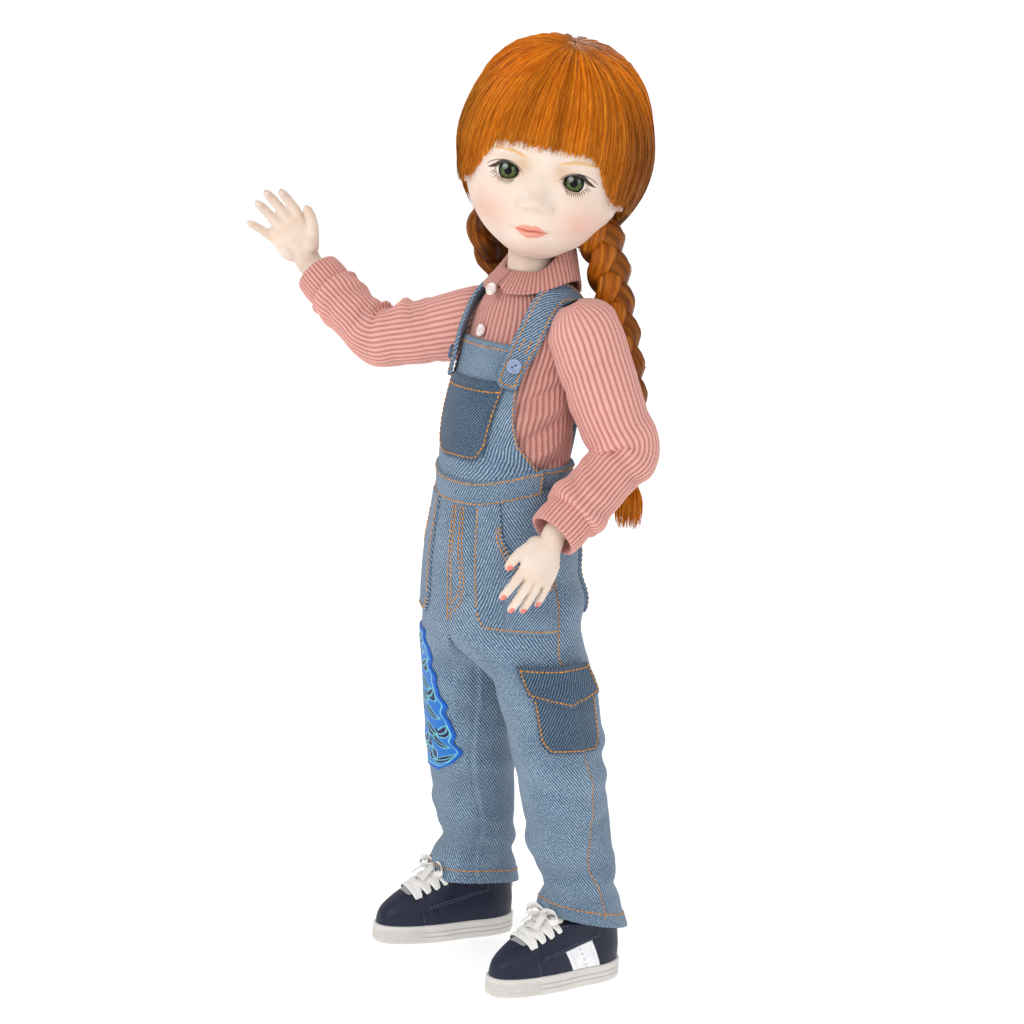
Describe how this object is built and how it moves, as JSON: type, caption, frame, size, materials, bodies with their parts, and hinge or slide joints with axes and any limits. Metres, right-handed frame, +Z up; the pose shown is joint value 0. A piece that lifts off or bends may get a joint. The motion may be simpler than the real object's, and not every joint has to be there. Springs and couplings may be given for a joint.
{
  "type": "fashion doll",
  "caption": "Ball-jointed collectible doll with braided ginger wig, inset eyes, ribbed knit shirt, denim bib overalls and laced low shoes, standing with one hand raised.",
  "frame": {"origin": "centre of the bounding box in X and Y, on the floor under the shoe soles", "axes": "+Z up, -Y the way the torso faces, +X the doll's own left"},
  "size_m": [0.178, 0.0858, 0.3692],
  "materials": {
    "skin": "satin cast resin with face and nail paint",
    "hair": "glossy straight wig fibre",
    "hair_tie": "matt elastic band",
    "knit": "fine ribbed knit",
    "denim": "washed twill with orange topstitching",
    "denim_dark": "mid-blue twill with orange topstitching",
    "eye": "clear domed, green iris",
    "shoe_leather": "smooth, satin",
    "shoe_rubber": "matt moulded",
    "lace": "flat woven",
    "button_blue": "pearly two-hole",
    "button_clear": "clear four-hole",
    "elastic": "covered round elastic",
    "steel": "bent wire",
    "patch": "printed and edged appliqué"
  },
  "bodies": {
    "torso": {"torso_front": "skin", "torso_back": "skin", "arm_elastic": "elastic", "leg_elastic": "elastic", "neck_hook": "steel", "shirt_body": "knit", "shirt_collar": "knit", "shirt_button_upper": "button_clear", "shirt_button_lower": "button_clear", "overalls_waistband": "denim", "overalls_seat": "denim", "overalls_bib": "denim", "bib_pocket": "denim_dark", "right_strap": "denim", "left_strap": "denim", "right_strap_button": "button_blue", "left_strap_button": "button_blue", "right_front_pocket": "denim", "left_front_pocket": "denim", "right_back_pocket": "denim_dark", "left_back_pocket": "denim_dark"},
    "neck": {"neck_post": "skin"},
    "head": {"face_shell": "skin", "skull_cap": "skin", "right_eye": "eye", "left_eye": "eye", "wig": "hair", "right_braid": "hair", "left_braid": "hair", "right_braid_tie": "hair_tie", "left_braid_tie": "hair_tie"},
    "cargo_flap": {"cargo_flap": "denim_dark"},
    "right_shoulder": {"right_shoulder_ball": "skin"},
    "right_upper_arm": {"right_upper_arm": "skin", "right_sleeve": "knit"},
    "right_forearm": {"right_forearm": "skin", "right_cuff": "knit"},
    "right_hand": {"right_hand": "skin"},
    "right_thigh": {"right_thigh": "skin", "right_trouser_leg": "denim", "leg_patch": "patch"},
    "right_shin": {"right_shin": "skin"},
    "right_foot": {"right_foot": "skin", "right_shoe_sole": "shoe_rubber", "right_shoe_upper": "shoe_leather", "right_shoe_lace": "lace"},
    "left_shoulder": {"left_shoulder_ball": "skin"},
    "left_upper_arm": {"left_upper_arm": "skin", "left_sleeve": "knit"},
    "left_forearm": {"left_forearm": "skin", "left_cuff": "knit"},
    "left_hand": {"left_hand": "skin"},
    "left_thigh": {"left_thigh": "skin", "left_trouser_leg": "denim", "cargo_pocket": "denim_dark"},
    "left_shin": {"left_shin": "skin"},
    "left_foot": {"left_foot": "skin", "left_shoe_sole": "shoe_rubber", "left_shoe_upper": "shoe_leather", "left_shoe_lace": "lace"}
  },
  "joints": [
    {"name": "neck_nod", "type": "hinge", "parent": "torso", "child": "neck", "pos_m": [0.03265, 0.00123, 0.2662], "axis": [1, 0, 0], "range_deg": [-12, 12]},
    {"name": "head_turn", "type": "hinge", "parent": "neck", "child": "head", "pos_m": [0.03235, 0.00064, 0.2847], "axis": [0, 0, 1], "range_deg": [-70, 35], "deforming": ["right_braid", "left_braid", "right_braid_tie", "left_braid_tie"]},
    {"name": "right_shoulder_swing", "type": "hinge", "parent": "torso", "child": "right_shoulder", "pos_m": [0.00415, -0.00026, 0.2552], "axis": [-1, 0, 0], "range_deg": [-60, 60]},
    {"name": "right_shoulder_raise", "type": "hinge", "parent": "right_shoulder", "child": "right_upper_arm", "pos_m": [0.00415, -0.00026, 0.2552], "axis": [0, 1, 0], "range_deg": [-45, 35]},
    {"name": "right_elbow_bend", "type": "hinge", "parent": "right_upper_arm", "child": "right_forearm", "pos_m": [-0.03784, -0.01696, 0.24054], "axis": [-0.3131, 0.9347, -0.1682], "range_deg": [-45, 50], "deforming": ["right_sleeve"]},
    {"name": "right_wrist_turn", "type": "hinge", "parent": "right_forearm", "child": "right_hand", "pos_m": [-0.07338, -0.02407, 0.26721], "axis": [-0.79, -0.158, 0.5925], "range_deg": [-60, 60]},
    {"name": "left_shoulder_swing", "type": "hinge", "parent": "torso", "child": "left_shoulder", "pos_m": [0.06115, -0.00026, 0.2552], "axis": [-1, 0, 0], "range_deg": [-25, 75]},
    {"name": "left_shoulder_raise", "type": "hinge", "parent": "left_shoulder", "child": "left_upper_arm", "pos_m": [0.06115, -0.00026, 0.2552], "axis": [0, -1, 0], "range_deg": [-4, 75]},
    {"name": "left_elbow_bend", "type": "hinge", "parent": "left_upper_arm", "child": "left_forearm", "pos_m": [0.07587, 0.01707, 0.2135], "axis": [-0.9448, 0.2214, -0.2415], "range_deg": [-75, 20], "deforming": ["left_sleeve"]},
    {"name": "left_wrist_turn", "type": "hinge", "parent": "left_forearm", "child": "left_hand", "pos_m": [0.07475, -0.01818, 0.18556], "axis": [-0.0248, -0.7834, -0.621], "range_deg": [-40, 40]},
    {"name": "right_hip_swing", "type": "hinge", "parent": "torso", "child": "right_thigh", "pos_m": [0.01415, -0.00677, 0.14878], "axis": [-1, 0, 0], "range_deg": [-15, 70], "deforming": ["overalls_seat", "right_front_pocket", "right_back_pocket"]},
    {"name": "right_knee_bend", "type": "hinge", "parent": "right_thigh", "child": "right_shin", "pos_m": [0.00483, 0.00504, 0.08246], "axis": [0.9595, -0.2215, -0.1743], "range_deg": [0, 90], "deforming": ["right_trouser_leg", "leg_patch"]},
    {"name": "right_ankle_bend", "type": "hinge", "parent": "right_shin", "child": "right_foot", "pos_m": [-0.00367, 0.01581, 0.022], "axis": [-0.9744, 0.225, 0], "range_deg": [-12, 12]},
    {"name": "left_hip_swing", "type": "hinge", "parent": "torso", "child": "left_thigh", "pos_m": [0.05115, -0.00677, 0.14954], "axis": [-1, 0, 0], "range_deg": [-15, 70], "deforming": ["left_front_pocket", "left_back_pocket"]},
    {"name": "left_knee_bend", "type": "hinge", "parent": "left_thigh", "child": "left_shin", "pos_m": [0.05698, 0.00504, 0.08283], "axis": [0.9956, -0.0522, 0.0779], "range_deg": [0, 90], "deforming": ["left_trouser_leg"]},
    {"name": "left_ankle_bend", "type": "hinge", "parent": "left_shin", "child": "left_foot", "pos_m": [0.0623, 0.01581, 0.022], "axis": [-0.9986, 0.0523, 0], "range_deg": [-12, 12]},
    {"name": "cargo_flap_lift", "type": "hinge", "parent": "left_thigh", "child": "cargo_flap", "pos_m": [0.07119, -0.01401, 0.1342], "axis": [-0.4695, -0.8829, 0], "range_deg": [0, 60]}
  ]
}
